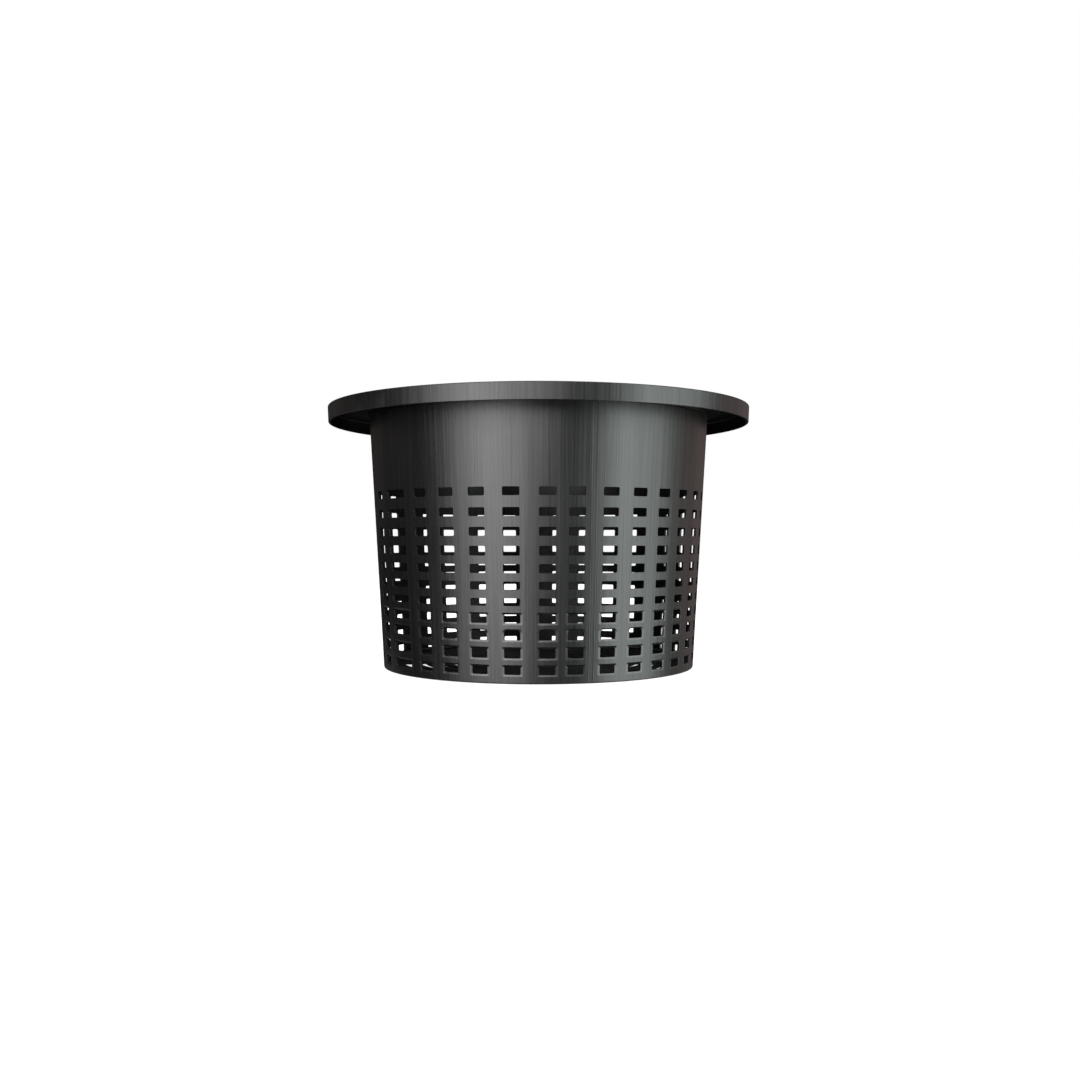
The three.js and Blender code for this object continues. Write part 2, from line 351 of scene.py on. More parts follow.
def rounded_profile(corners, steps):
    """Points (x, y, normal x, normal y) of an open outline, rounded; its outside is on the right.

    Each corner is (x, y, radius). The two end points stay as they are.
    """
    points = []
    for i, (x, y, radius) in enumerate(corners):
        here = Vector((x, y))
        before = here - Vector(corners[i - 1][:2]) if i > 0 else None
        after = Vector(corners[i + 1][:2]) - here if i < len(corners) - 1 else None
        if before is None or after is None:
            along = (after if before is None else before).normalized()
            points.append((x, y, along.y, -along.x))
            continue
        start = math.atan2(before.y, before.x)
        turn = math.remainder(math.atan2(after.y, after.x) - start, 2 * math.pi)
        side = math.copysign(1.0, turn)
        half_tangent = math.tan(abs(turn) / 2)
        reach = min(radius * half_tangent, CORNER_SHARE * before.length, CORNER_SHARE * after.length)
        bend = reach / half_tangent
        entry = here - before.normalized() * reach
        centre = entry - side * bend * Vector((math.sin(start), -math.cos(start)))
        for step in range(steps + 1):
            heading = start + turn * step / steps
            normal = Vector((math.sin(heading), -math.cos(heading)))
            place = centre + side * bend * normal
            points.append((place.x, place.y, normal.x, normal.y))
    return points


def border_loop(left, right, low, high, across, along):
    """Points (x, y) round a cell, from its low left corner to the right, up, back and down."""
    width, rise = right - left, high - low
    loop = [(left + width * i / across, low) for i in range(across)]
    loop += [(right, low + rise * i / along) for i in range(along)]
    loop += [(right - width * i / across, high) for i in range(across)]
    loop += [(left, high - rise * i / along) for i in range(along)]
    return loop


def opening_loop(half, low, high, low_corner, high_corner, across, along):
    """Points (x, y, outward x, outward y) round an opening, in step with border_loop."""
    corners = [
        (-half + low_corner, low + low_corner, low_corner, math.pi),
        (half - low_corner, low + low_corner, low_corner, 1.5 * math.pi),
        (half - high_corner, high - high_corner, high_corner, 0.0),
        (-half + high_corner, high - high_corner, high_corner, 0.5 * math.pi),
    ]

    def corner_point(corner, heading):
        x, y, radius, _ = corner
        out_x, out_y = math.cos(heading), math.sin(heading)
        return (x + radius * out_x, y + radius * out_y, out_x, out_y)

    step = math.pi / 4 / CORNER_STEPS
    loop = []
    for side in range(4):
        corner, following = corners[side], corners[(side + 1) % 4]
        middle = corner[3] + math.pi / 4
        loop += [corner_point(corner, middle + step * i) for i in range(CORNER_STEPS)]
        start = corner_point(corner, corner[3] + math.pi / 2)
        end = corner_point(following, following[3])
        straight = (across if side % 2 == 0 else along) - 2 * CORNER_STEPS
        for i in range(straight):
            place = tuple(start[k] + (end[k] - start[k]) * (i / straight) for k in (0, 1))
            loop.append(place + start[2:])
        loop += [corner_point(following, following[3] + step * i) for i in range(CORNER_STEPS)]
    return loop


class WallFace:
    """Places on the tapered wall: x is an angle, y a level and depth goes in from the outside."""

    def __init__(self, shape):
        self.shape = shape

    def place(self, turn, level, depth):
        radius = self.shape.outer(level) - depth
        return Vector((radius * math.sin(turn), -radius * math.cos(turn), level))

    def axes(self, turn):
        """Directions to the right, up the wall and out of it."""
        lean, rise = math.sin(self.shape.draft), math.cos(self.shape.draft)
        across, along = math.sin(turn), -math.cos(turn)
        right = Vector((-along, across, 0.0))
        up = Vector((lean * across, lean * along, rise))
        out = Vector((rise * across, rise * along, -lean))
        return right, up, out


class FloorFace:
    """Places on the floor: x is an angle, y a distance in from the rim and depth goes down from the top."""

    def __init__(self, radius, top):
        self.radius = radius
        self.top = top

    def place(self, turn, inset, depth):
        radius = self.radius - inset
        return Vector((radius * math.sin(turn), -radius * math.cos(turn), self.top - depth))

    def axes(self, turn):
        """Directions along the arc, towards the middle and up."""
        across, along = math.sin(turn), -math.cos(turn)
        return Vector((-along, across, 0.0)), Vector((-across, -along, 0.0)), Vector((0.0, 0.0, 1.0))


def edge_section(sheet, edge, width=0.0, depth=0.0):
    """Section through an opening's edge from the back to the front, with a bevel if it has a width.

    Each point is (offset from the opening, depth, normal along the offset, normal along the depth).
    """
    front = [(width, 0.0, edge / 2), (width + 2 * edge, 0.0, 0.0)] if width else [(2 * edge, 0.0, 0.0)]
    corners = [(2 * edge, sheet, 0.0), (0.0, sheet, edge), (0.0, depth, edge), *front]
    return rounded_profile(corners, EDGE_STEPS)


class Opening(NamedTuple):
    """An opening in a sheet; the growths are how much a corner's radius grows with the edge's offset."""

    middle: float
    half: float
    low: float
    high: float
    low_corner: float
    high_corner: float
    corner_growth: float = 1.0
    arch_growth: float = 0.0
    bevelled: bool = False


def pierce_cell(draft, face, sheet, front, back, opening, sections, radius, steps):
    """One cell of a perforated sheet: its back, the opening's edge through the sheet, and its front.

    front and back are (left, right, low, high). sections holds the edge's section at the sides, the low
    edge and the high edge, in step.
    """
    across, along = steps
    loops = []

    def flat_loop(cell, depth, outwards):
        loop = []
        for turn, y in border_loop(*cell, across, along):
            loop.append(draft.point(face.place(turn, y, depth), face.axes(turn)[2] * outwards))
        loops.append(loop)

    flat_loop(back, sheet, -1.0)
    for side, low, high in zip(*sections):
        low_corner = opening.low_corner + min(side[0], low[0]) * opening.corner_growth
        high_corner = opening.high_corner + min(side[0], high[0]) * opening.corner_growth
        high_corner += side[0] * opening.arch_growth
        half, sill, head = opening.half + side[0], opening.low - low[0], opening.high + high[0]
        loop = []
        for x, y, out_x, out_y in opening_loop(half, sill, head, low_corner, high_corner, across, along):
            turn = opening.middle + x / radius
            right, up, out = face.axes(turn)
            end = high if out_y > 0 else low
            depth, normal_offset, normal_depth = (
                side[i] * out_x * out_x + end[i] * out_y * out_y for i in (1, 2, 3)
            )
            normal = (right * out_x + up * out_y) * normal_offset - out * normal_depth
            loop.append(draft.point(face.place(turn, y, depth), normal))
        loops.append(loop)
    flat_loop(front, 0.0, 1.0)
    through = EDGE_STEPS + 2  # the band that lies in the thickness of the sheet
    finishes = [INSIDE] * (through + 1) + [OUTSIDE] * len(loops)
    if opening.bevelled:
        finishes[through + EDGE_STEPS + 1] = BEVEL
    for inside, outside, finish in zip(loops, loops[1:], finishes):
        draft.band(outside, inside, finish)


MEETING_SHIFTS = [math.radians(shift) for shift in (0.4, 1.05, -0.35)]


def meeting_shift(place, windows):
    """How far a column stands off the pitch; the halves of the mould meet twice in a turn."""
    step = (place - windows.meeting) % (windows.columns // 2)
    return MEETING_SHIFTS[int(step)] if step in range(len(MEETING_SHIFTS)) else 0.0


def window_columns(windows, body):
    """(left border, left jamb, right jamb, right border) of each column, as angles."""
    pitch = 2 * math.pi / windows.columns
    half = windows.width / body
    main_run = windows.columns - windows.second_run
    places = list(range(1, main_run))
    places += [main_run + windows.run_offset + i for i in range(windows.second_run - 1)]
    jambs = [(windows.first - windows.run_offset * pitch - half, windows.first + half)]
    for place in places:
        middle = windows.first + place * pitch + meeting_shift(place, windows)
        jambs.append((middle - half, middle + half))
    first_border = (jambs[-1][1] - 2 * math.pi + jambs[0][0]) / 2
    borders = [first_border]
    borders += [(left[1] + right[0]) / 2 for left, right in zip(jambs, jambs[1:])]
    borders.append(first_border + 2 * math.pi)
    return [(borders[i], jamb[0], jamb[1], borders[i + 1]) for i, jamb in enumerate(jambs)]


def window_rows(windows, shape):
    """Rows from the foot upwards: sill, head, framed or not, and the radius at the head's corners."""
    rows = []
    lowest = shape.floor_bead_top + windows.sill_land
    for i, (rise, height) in enumerate(zip(windows.framed_rises, windows.framed_heights)):
        corner = windows.arch if i + 1 == windows.arched_row else windows.corner
        rows.append((lowest + rise, lowest + rise + height, True, corner))
    plain = []
    head, pitch = shape.skirt_level - windows.collar, windows.pitch
    for height in windows.heights:
        plain.append((head - height, head, False, windows.corner))
        head -= pitch
        pitch *= windows.pitch_ratio
    return rows + plain[::-1]


RISE_STEPS = 2 + 2 * CORNER_STEPS  # points along the height of a window's or slot's cell
WALL_STEPS = (4 + 2 * CORNER_STEPS, RISE_STEPS)  # points along the width and height of a window's cell
COLLAR_START = 2.0 * MM  # plain wall kept above the highest row
ARCH_BEVEL = 0.5 * MM  # small bevel over an arched head
ARCH_GROWTH = 0.8  # how much an arched frame's outer radius grows with the bevel beside the window
FRAME_CORNER = 0.3  # how much a frame's outer corner grows with its bevel


def draft_basket_wall(scene):
    """The tapered wall with its windows, lip, foot ledge and snap beads."""
    wall, windows = scene.net_pot_wall, scene.net_pot_windows
    shape = PotShape(scene)
    draft = MeshDraft()
    face = WallFace(shape)
    columns = window_columns(windows, wall.body)
    rows = window_rows(windows, shape)
    edge = windows.edge_round
    plain = edge_section(shape.sheet, edge)
    side = edge_section(shape.sheet, edge, windows.frame_side, windows.side_depth)
    sill = edge_section(shape.sheet, edge, windows.frame_sill, windows.sill_depth)
    head = edge_section(shape.sheet, edge, windows.frame_head, windows.head_depth)
    arch = edge_section(shape.sheet, edge, ARCH_BEVEL, ARCH_BEVEL)

    def reach(row):
        sill, head, framed, _ = row
        return (sill - windows.frame_sill, head + windows.frame_head) if framed else (sill, head)

    lowest_front = reach(rows[0])[0] / 2 + wall.foot_round / 2
    lowest_back = (shape.floor_bead_top + rows[0][0]) / 2
    highest = reach(rows[-1])[1] + COLLAR_START
    borders = [(reach(below)[1] + reach(above)[0]) / 2 for below, above in zip(rows, rows[1:])]
    front_levels = [lowest_front] + borders + [highest]
    back_levels = [lowest_back] + borders + [highest]
    for i, (low, high, framed, high_corner) in enumerate(rows):
        radius = shape.outer((low + high) / 2)
        arched = high_corner > windows.corner
        sections = (side, sill, arch if arched else head) if framed else (plain, plain, plain)
        for left, left_jamb, right_jamb, right in columns:
            opening = Opening(
                middle=(left_jamb + right_jamb) / 2,
                half=(right_jamb - left_jamb) / 2 * radius,
                low=low,
                high=high,
                low_corner=windows.corner,
                high_corner=high_corner,
                corner_growth=FRAME_CORNER if framed else 1.0,
                arch_growth=ARCH_GROWTH if arched else 0.0,
                bevelled=framed,
            )
            front = (left, right, front_levels[i], front_levels[i + 1])
            back = (left, right, back_levels[i], back_levels[i + 1])
            pierce_cell(draft, face, shape.sheet, front, back, opening, sections, radius, WALL_STEPS)
    across = WALL_STEPS[0]
    angles = [c[0] + (c[3] - c[0]) * i / across for c in columns for i in range(across)]
    small = wall.edge_round

    def outside(level, rounding=0.0, reach=0.0):
        return (shape.outer(level) + reach, level, rounding)

    def inside(level, rounding=0.0, reach=0.0):
        return (shape.inner(level) - reach, level, rounding)

    ramp_foot = shape.top_bead - wall.top_ramp
    bead_foot = ramp_foot - 2 * small
    neck = (shape.top_bead + shape.lip_underside) / 2
    lip_round = 1.5 * small
    collar_profile = [outside(highest), outside(bead_foot)]
    bead_profile = [
        outside(bead_foot),
        outside(ramp_foot, 2 * small),
        outside(shape.top_bead, small, wall.top_reach),
        outside(shape.top_bead, small),
        outside(neck),
    ]
    lip_profile = [
        outside(neck),
        outside(shape.lip_underside, small),
        (shape.lip_radius, shape.lip_underside, small),
        (shape.lip_radius, shape.top, lip_round),
        inside(shape.top, lip_round),
        inside(highest),
    ]
    # The bead under the flange gets the inside's less reflective finish, which paints shade under the flange
    # onto it.
    for profile, finish in ((collar_profile, OUTSIDE), (bead_profile, INSIDE), (lip_profile, TOP)):
        draft.revolve(rounded_profile(profile, EDGE_STEPS), angles, finish)
    ledge_inside = shape.inner(wall.ledge_thickness) - wall.ledge_reach
    foot_profile = [
        inside(lowest_back),
        inside(shape.floor_bead_top, small),
        inside(shape.floor_bead, small, wall.floor_reach),
        inside(shape.floor_bead, small),
        inside(wall.ledge_thickness, small),
        (ledge_inside, wall.ledge_thickness, small),
        (ledge_inside, 0.0, small),
        outside(0.0, wall.foot_round),
        outside(lowest_front),
    ]
    draft.revolve(rounded_profile(foot_profile, EDGE_STEPS), angles)
    return draft


def parting_ring(draft, face, parting, middle, level):
    """Points round the section of a parting line at a level: its proud face, then its root in the wall."""
    half = parting.width / 2
    right, _, out = face.axes(middle)
    ring = []

    def add(aside, depth, normal):
        turn = middle + aside / face.shape.outer(level)
        ring.append(draft.point(face.place(turn, level, depth), normal))

    for step in range(LINE_STEPS + 1):
        slant = math.pi * step / LINE_STEPS
        normal = out * math.sin(slant) * half - right * math.cos(slant) * parting.rise
        add(-math.cos(slant) * half, -math.sin(slant) * parting.rise, normal)
    for side in (1, -1):
        add(side * half, parting.depth, right * side)
    return ring


def draft_parting_lines(scene):
    """Fine upright lines where the halves of the mould part, from the foot to the bead under the flange."""
    wall, parting = scene.net_pot_wall, scene.net_pot_parting
    shape = PotShape(scene)
    face = WallFace(shape)
    low, high = wall.foot_round * LINE_START, shape.top_bead - wall.top_ramp
    draft = MeshDraft()
    for first in (parting.first, parting.first + parting.step):
        for middle in (first, first + math.pi):
            lower = parting_ring(draft, face, parting, middle, low)
            upper = parting_ring(draft, face, parting, middle, high)
            draft.band(lower, upper)
            draft.faces.append(tuple(reversed(lower)))
            draft.faces.append(tuple(upper))
    return draft


def even_angles(sides):
    return [2 * math.pi * k / sides for k in range(sides)]


def draft_rim_flange(scene):
    """Plate and skirt in one sheet, stepped down by the bore into a seat for the basket's lip."""
    wall, flange = scene.net_pot_wall, scene.net_pot_flange
    shape = PotShape(scene)
    bore = shape.outer(shape.seat_top) + wall.clearance
    seat_radius = shape.lip_radius + wall.clearance
    seat_outside = seat_radius + flange.sheet
    plate_underside = shape.top - flange.sheet
    small = flange.inner_round

    def skirt(level):
        return flange.radius - (shape.top - level) * math.tan(flange.draft)

    middle = (plate_underside + flange.skirt_level) / 2
    inside_middle = (skirt(middle) - flange.sheet, middle, 0)
    bore_middle = (bore, (shape.seat_underside + shape.seat_top) / 2, 0)
    underside = [
        bore_middle,
        (bore, shape.seat_underside, small),
        (seat_outside, shape.seat_underside, small),
        (seat_outside, plate_underside, small),
        (skirt(plate_underside) - flange.sheet, plate_underside, 2 * small),
        inside_middle,
    ]
    outside = [
        inside_middle,
        (skirt(flange.skirt_level) - flange.sheet, flange.skirt_level, small),
        (skirt(flange.skirt_level), flange.skirt_level, small),
        (flange.radius, shape.top, flange.edge_round),
        (seat_radius, shape.top, small),
        (seat_radius, shape.seat_top, small),
        (bore, shape.seat_top, small),
        bore_middle,
    ]
    draft = MeshDraft()
    # The underside takes a less reflective finish: partly the moulding's duller underside, partly painted
    # shade under the flange.
    for profile, finish in ((underside, INSIDE), (outside, TOP)):
        draft.revolve(rounded_profile(profile, EDGE_STEPS + 1), even_angles(flange.sides), finish)
    return draft


SLOT_STEPS = 30  # points along a slot's cell
SLOT_CORNERS = 6  # a slot's width over the radius in its corners


def draft_base_grid(scene):
    """The floor disc with its rings of arc slots between rim and hub."""
    floor = scene.net_pot_floor
    draft = MeshDraft()
    face = FloorFace(floor.radius, floor.top)
    thickness = floor.top - floor.underside
    edge = floor.edge_round
    section = edge_section(thickness, edge)
    insets = []
    outer = floor.radius - floor.rim
    while outer - floor.pitch > floor.hub / 2:
        insets.append(floor.radius - outer)
        outer -= floor.pitch
    bar = floor.pitch - floor.slot
    start = math.pi / 2 + floor.turn
    pitch = 2 * math.pi / floor.arms
    corner = floor.slot / SLOT_CORNERS
    steps = (SLOT_STEPS, RISE_STEPS)
    for inset in insets:
        radius = floor.radius - inset - floor.slot / 2
        for i in range(floor.arms):
            left = start + i * pitch
            cell = (left, left + pitch, inset - bar / 2, inset + floor.slot + bar / 2)
            half = (pitch - floor.arm_sector) / 2 * radius
            opening = Opening(left + pitch / 2, half, inset, inset + floor.slot, corner, corner)
            pierce_cell(draft, face, thickness, cell, cell, opening, (section,) * 3, radius, steps)
    sides = SLOT_STEPS * floor.arms
    angles = [start + place for place in even_angles(sides)]
    rim_radius = floor.radius - insets[0] + bar / 2
    rim_profile = [
        (rim_radius, floor.underside, 0),
        (floor.radius, floor.underside, edge),
        (floor.radius, floor.top, edge),
        (rim_radius, floor.top, 0),
    ]
    draft.revolve(rounded_profile(rim_profile, EDGE_STEPS), angles)
    hub_radius = floor.radius - insets[-1] - floor.slot - bar / 2
    for level, up in ((floor.top, 1.0), (floor.underside, -1.0)):
        middle = draft.point(Vector((0.0, 0.0, level)), Vector((0.0, 0.0, up)))
        ring = draft.ring(hub_radius, level, 0.0, up, angles)
        for k in range(sides):
            n = (k + 1) % sides
            draft.faces.append((middle, ring[k], ring[n]) if up > 0 else (middle, ring[n], ring[k]))
    return draft


def feed(tree, node, inputs):
    """Gives inputs of a node their values, or links from the outputs of other nodes."""
    for key, value in inputs.items():
        if isinstance(value, bpy.types.NodeSocket):
            tree.links.new(value, node.inputs[key])
        else:
            node.inputs[key].default_value = value


def add_node(tree, kind, inputs=None, **settings):
    """A node with its settings, and with values or links for its inputs."""
    made = tree.nodes.new(kind)
    for key, value in settings.items():
        setattr(made, key, value)
    feed(tree, made, inputs or {})
    return made


def noise_at(tree, where, settings):
    return add_node(tree, "ShaderNodeTexNoise", {"Vector": where, **settings}).outputs["Fac"]


def spread_over(tree, value, span):
    return add_node(tree, "ShaderNodeMapRange", {"Value": value, **span}).outputs["Result"]


def combine(tree, operation, *values):
    return add_node(tree, "ShaderNodeMath", dict(enumerate(values)), operation=operation).outputs[0]


def combine_vectors(tree, operation, inputs):
    return add_node(tree, "ShaderNodeVectorMath", inputs, operation=operation).outputs[0]


MIX_SHARE, MIX_FIRST, MIX_SECOND, MIX_RESULT = 0, 6, 7, 2  # sockets of a mix node that mixes colours


def mix_colours(tree, part, first, second):
    inputs = {MIX_SHARE: part, MIX_FIRST: first, MIX_SECOND: second}
    return add_node(tree, "ShaderNodeMix", inputs, data_type="RGBA").outputs[MIX_RESULT]


def new_group(name, inputs, outputs):
    """An empty shader node group with float sockets; returns it with its two end nodes."""
    tree = bpy.data.node_groups.new(name, "ShaderNodeTree")
    for socket, default in inputs.items():
        made = tree.interface.new_socket(name=socket, in_out="INPUT", socket_type="NodeSocketFloat")
        made.default_value = default
    for socket in outputs:
        tree.interface.new_socket(name=socket, in_out="OUTPUT", socket_type="NodeSocketFloat")
    return tree, tree.nodes.new("NodeGroupInput"), tree.nodes.new("NodeGroupOutput")


BROAD_STREAKS = {"Scale": 0.24, "Detail": 2.0, "Roughness": 0.55}
FINE_STREAKS = {"Scale": 1.5, "Detail": 3.0, "Roughness": 0.7}
STREAK_SPAN = {"From Min": 0.34, "From Max": 0.66}  # where most of the noise lies
FINE_HEIGHT = 0.65  # height of the fine streaks, with the broad ones as 1
WALL_FINENESS, FLANGE_FINENESS, FLOOR_FINENESS = 60.0, 66.0, 40.0  # how close the streaks stand
STREAK_DRIFT = 9.0  # how fast they change up the wall


def flow_streaks_group():
    """Fine streaks that run up the wall and out along the flange, from the drawing of the mould."""
    name = "Flow streaks"
    if name in bpy.data.node_groups:
        return bpy.data.node_groups[name]
    inputs = {"Fineness": WALL_FINENESS, "Length": STREAK_DRIFT}
    tree, into, out = new_group(name, inputs, ("Broad", "Fine", "Height"))
    place = add_node(tree, "ShaderNodeNewGeometry").outputs["Position"]
    split = add_node(tree, "ShaderNodeSeparateXYZ", {0: place}).outputs
    flat = add_node(tree, "ShaderNodeCombineXYZ", {"X": split["X"], "Y": split["Y"]}).outputs[0]
    heading = combine_vectors(tree, "NORMALIZE", {0: flat})
    spread = combine_vectors(tree, "SCALE", {0: heading, "Scale": into.outputs["Fineness"]})
    drift = combine(tree, "MULTIPLY", split["Z"], into.outputs["Length"])
    lift = add_node(tree, "ShaderNodeCombineXYZ", {"Z": drift}).outputs[0]
    where = combine_vectors(tree, "ADD", {0: spread, 1: lift})
    broad = noise_at(tree, where, BROAD_STREAKS)
    fine = noise_at(tree, where, FINE_STREAKS)
    outputs = {
        "Broad": spread_over(tree, broad, STREAK_SPAN),
        "Fine": spread_over(tree, fine, STREAK_SPAN),
        "Height": combine(tree, "MULTIPLY_ADD", fine, FINE_HEIGHT, broad),
    }
    feed(tree, out, outputs)
    return tree


SMUDGES = {"Scale": 46.0, "Detail": 5.0, "Roughness": 0.6, "Distortion": 0.6}
SMUDGE_SPAN = {"From Min": 0.35, "From Max": 0.7}
SPECKS = {"Scale": 900.0, "Detail": 3.0, "Roughness": 0.7}  # grains of dust
SPECK_SPAN = {"From Min": 0.48, "From Max": 0.75}
LEVEL_SPAN = {"From Min": 0.55, "From Max": 1.0}  # how level a face is that dust lies on
EDGE_SPAN = {"From Min": 0.515, "From Max": 0.6}  # pointiness of an edge that wears
DUST, WEAR = 0.3, 0.3


def handling_group():
    """Smudges from handling, dust on upward faces and pale worn edges."""
    name = "Handling"
    if name in bpy.data.node_groups:
        return bpy.data.node_groups[name]
    tree, into, out = new_group(name, {"Dust": DUST, "Wear": WEAR}, ("Smudge", "Dust", "Edge"))
    place = add_node(tree, "ShaderNodeNewGeometry").outputs
    facing = add_node(tree, "ShaderNodeSeparateXYZ", {0: place["Normal"]}).outputs
    smudge = spread_over(tree, noise_at(tree, place["Position"], SMUDGES), SMUDGE_SPAN)
    specks = spread_over(tree, noise_at(tree, place["Position"], SPECKS), SPECK_SPAN)
    settled = combine(tree, "MULTIPLY", spread_over(tree, facing["Z"], LEVEL_SPAN), specks)
    rubbed = combine(tree, "MULTIPLY", spread_over(tree, place["Pointiness"], EDGE_SPAN), smudge)
    outputs = {
        "Smudge": smudge,
        "Dust": combine(tree, "MULTIPLY", settled, into.outputs["Dust"]),
        "Edge": combine(tree, "MULTIPLY", rubbed, into.outputs["Wear"]),
    }
    feed(tree, out, outputs)
    return tree


PLASTIC_IOR = 1.58
STREAK_ROUGHNESS = (-0.035, 0.045)  # what the fine streaks do to the roughness
SMUDGE_ROUGHNESS = 0.03  # what the smudges add to it
FINISHES = {  # roughness, fineness of the streaks, dust, wear, specular level, share of the streaks' gloss
    "satin_black_wall": ("wall_roughness", WALL_FINENESS, 0.25, 0.25, 0.5, 1.0),
    # A less reflective copy of the wall's finish: partly the duller inside of the moulding, partly painted
    # shade inside the pot and on the bead under the flange.
    "dull_black_inside": ("inside_roughness", WALL_FINENESS, 0.15, 0.25, 0.18, 0.0),
    "matt_black_lip": ("top_roughness", FLANGE_FINENESS, 0.3, 0.35, 0.4, 0.5),
    # A more reflective copy of the wall's finish: its higher specular level paints a highlight on the side
    # and sill bevels of the low windows.
    "burnished_black_bevel": ("bevel_roughness", WALL_FINENESS, 0.2, 0.25, 0.7, 1.0),
    "satin_black_line": ("wall_roughness", WALL_FINENESS, 0.25, 0.25, 0.5, 1.0),
    "satin_black_flange": ("flange_roughness", FLANGE_FINENESS, 0.3, 0.35, 0.45, 1.0),
    # A less reflective copy of the flange's finish: partly the duller underside of the moulding, partly
    # painted shade under the flange.
    "dull_black_underside": ("inside_roughness", FLANGE_FINENESS, 0.15, 0.25, 0.18, 0.0),
    "matt_black_top": ("top_roughness", FLANGE_FINENESS, 0.3, 0.35, 0.4, 0.5),
    "satin_black_floor": ("floor_roughness", FLOOR_FINENESS, 0.06, 0.25, 0.12, 0.0),
}


def moulded_plastic(finish, name):
    """One of FINISHES: black plastic with flow streaks, smudges, a little dust and worn edges."""
    roughness_key, fineness, dust, wear, specular, gloss = FINISHES[name]
    roughness = getattr(finish, roughness_key)
    material = bpy.data.materials.new(name)
    material.use_nodes = True
    tree = material.node_tree
    drawn = {"Fineness": fineness, "Length": STREAK_DRIFT}
    streaks = add_node(tree, "ShaderNodeGroup", drawn, node_tree=flow_streaks_group()).outputs
    handled = {"Dust": dust, "Wear": wear}
    handling = add_node(tree, "ShaderNodeGroup", handled, node_tree=handling_group()).outputs
    paler = combine(tree, "MULTIPLY", streaks["Broad"], streaks["Fine"])
    marks = combine(tree, "MAXIMUM", handling["Dust"], handling["Edge"])
    tint = mix_colours(tree, paler, (*finish.body, 1.0), (*finish.streak, 1.0))
    smooth, rough = (roughness + change for change in STREAK_ROUGHNESS)
    streaked = spread_over(tree, streaks["Fine"], {"To Min": smooth, "To Max": rough})
    bump = {"Strength": 1.0, "Distance": finish.streak_height, "Height": streaks["Height"]}
    inputs = {
        "IOR": PLASTIC_IOR,
        "Specular IOR Level": specular,
        "Base Color": mix_colours(tree, marks, tint, (*finish.dust, 1.0)),
        "Roughness": combine(tree, "MULTIPLY_ADD", handling["Smudge"], SMUDGE_ROUGHNESS, streaked),
        "Normal": add_node(tree, "ShaderNodeBump", bump).outputs["Normal"],
    }
    if gloss:
        sheen = {"To Min": 0.0, "To Max": finish.streak_gloss * gloss}
        inputs["Coat Weight"] = spread_over(tree, streaks["Fine"], sheen)
        inputs["Coat Roughness"] = roughness
    feed(tree, tree.nodes["Principled BSDF"], inputs)
    return material


def place_piece(scene, draft, name, finishes, node=None):
    """Builds a draft in its finishes and puts it on the frame, in place of its CAD node if it has one."""
    piece = draft.build(name, [moulded_plastic(scene.net_pot_finish, finish) for finish in finishes])
    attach(piece, "root")
    if node:
        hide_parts(node)


class NETPOT_OT_basket_wall(bpy.types.Operator):
    """Build the perforated basket wall"""

    bl_idname = "net_pot.basket_wall"
    bl_label = "Basket wall"

    def execute(self, context):
        finishes = ("satin_black_wall", "dull_black_inside", "matt_black_lip", "burnished_black_bevel")
        draft = draft_basket_wall(context.scene)
        place_piece(context.scene, draft, "moulded_basket", finishes, "basket_wall")
        return {"FINISHED"}


class NETPOT_OT_parting_lines(bpy.types.Operator):
    """Build the fine lines where the halves of the wall's mould part"""

    bl_idname = "net_pot.parting_lines"
    bl_label = "Parting lines"

    def execute(self, context):
        draft = draft_parting_lines(context.scene)
        place_piece(context.scene, draft, "parting_lines", ("satin_black_line",))
        return {"FINISHED"}


class NETPOT_OT_rim_flange(bpy.types.Operator):
    """Build the flange ring that the basket hangs in"""

    bl_idname = "net_pot.rim_flange"
    bl_label = "Rim flange"

    def execute(self, context):
        finishes = ("satin_black_flange", "dull_black_underside", "matt_black_top")
        draft = draft_rim_flange(context.scene)
        place_piece(context.scene, draft, "moulded_flange", finishes, "rim_flange")
        return {"FINISHED"}


class NETPOT_OT_base_grid(bpy.types.Operator):
    """Build the slotted floor"""

    bl_idname = "net_pot.base_grid"
    bl_label = "Base grid"

    def execute(self, context):
        finishes = ("satin_black_floor",)
        draft = draft_base_grid(context.scene)
        place_piece(context.scene, draft, "moulded_floor", finishes, "base_grid")
        return {"FINISHED"}


PANEL_DISTANCE = 0.8  # metres from the pot to each panel
SENSOR_WIDTH = 36.0  # millimetres
WHITE, COOL, WARM, RUDDY = (1.0, 1.0, 1.0), (0.92, 1.0, 0.97), (1.0, 0.76, 0.72), (1.0, 0.85, 0.8)
SOFT_PANELS = {  # bearing and elevation in degrees, width and height in metres, and tint
    "key_left": (-29, 10, 0.25, 0.58, WHITE),
    "key_left_outer": (-47, 10, 0.25, 0.58, WHITE),
    "key_left_low": (-32, -22.5, 0.56, 0.355, WHITE),
    "front_left": (-13.5, 6, 0.166, 0.68, WHITE),
    "front_low": (0, 9, 0.225, 0.16, WHITE),
    "front_high": (0, 22, 0.21, 0.2, WHITE),
    "key_right": (53.5, 11, 0.29, 0.61, COOL),
    "key_right_low": (53, -22.5, 0.27, 0.355, COOL),
    "key_right_outer": (77, -2.5, 0.37, 1.02, COOL),
    "rear_right": (124, 3, 0.75, 0.43, WARM),
    "rear_left": (-124, 15, 0.75, 0.43, RUDDY),
    "rear_low_right": (138, -30, 0.5, 0.5, WHITE),
    "rear_low_left": (-138, -30, 0.5, 0.5, WHITE),
    "overhead": (0, 90, 1.1, 1.1, WHITE),
}


